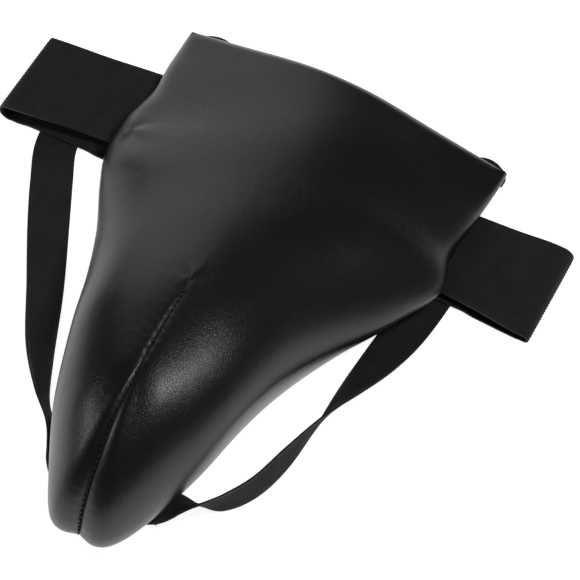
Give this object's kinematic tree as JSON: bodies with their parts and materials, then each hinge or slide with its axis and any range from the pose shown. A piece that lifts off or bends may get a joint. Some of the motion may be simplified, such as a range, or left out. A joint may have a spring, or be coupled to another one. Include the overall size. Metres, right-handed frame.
{
  "type": "groin protector",
  "caption": "Padded groin and lower belly shield round a hard cup, with a folded elastic waistband and two elastic leg straps.",
  "frame": {"origin": "under the middle of the waistband's back layer, on the surface that the protector lies on", "axes": "+X to the right seen from the front, +Y from the tip to the waist edge, +Z the padded front, away from the wearer"},
  "size_m": [0.3438, 0.3258, 0.089],
  "materials": {
    "black_leather": "smooth black coated leather with a fine grain and a soft sheen",
    "lining_cloth": "matt black close-woven lining",
    "grey_foam": "closed-cell foam, matt",
    "soft_foam": "soft foam, matt",
    "cup_plastic": "moulded plastic",
    "trim_rubber": "soft rubber bead",
    "black_elastic": "matt woven elastic with fine ribs",
    "black_thread": "waxed sewing thread"
  },
  "bodies": {
    "shield": {"front_cover": "black_leather", "back_lining": "lining_cloth", "front_foam": "grey_foam", "hard_cup": "cup_plastic", "cup_edge_trim": "trim_rubber", "cup_liner_pad": "soft_foam", "abdomen_pad": "grey_foam", "rim_roll": "soft_foam", "dart_stitching": "black_thread", "edge_stitching": "black_thread", "left_side_stitching": "black_thread", "right_side_stitching": "black_thread", "waistband_left": "black_elastic", "waistband_right": "black_elastic", "left_tip_bartack": "black_thread", "right_tip_bartack": "black_thread"},
    "waistband_back": {"waistband_back": "black_elastic", "left_strap_bartack": "black_thread", "right_strap_bartack": "black_thread"},
    "left_leg_strap": {"left_leg_strap": "black_elastic"},
    "right_leg_strap": {"right_leg_strap": "black_elastic"}
  },
  "joints": [
    {"name": "waistband_open", "type": "slide", "parent": "waistband_back", "child": "shield", "axis": [0, 0, 1], "range_m": [0, 0.1], "stiffness_N_per_m": 130, "deforming": ["waistband_left", "waistband_right"]},
    {"name": "left_strap_swing", "type": "hinge", "parent": "shield", "child": "left_leg_strap", "pos_m": [-0.021, -0.225, 0.003], "axis": [-1, 0, 0], "range_deg": [0, 24], "deforming": ["left_leg_strap"]},
    {"name": "right_strap_swing", "type": "hinge", "parent": "shield", "child": "right_leg_strap", "pos_m": [0.021, -0.225, 0.003], "axis": [-1, 0, 0], "range_deg": [0, 24], "deforming": ["right_leg_strap"]}
  ],
  "couplings": [
    {"joint": "left_strap_swing", "follows": "waistband_open", "rad_per_m": 3.6},
    {"joint": "right_strap_swing", "follows": "waistband_open", "rad_per_m": 3.6}
  ]
}
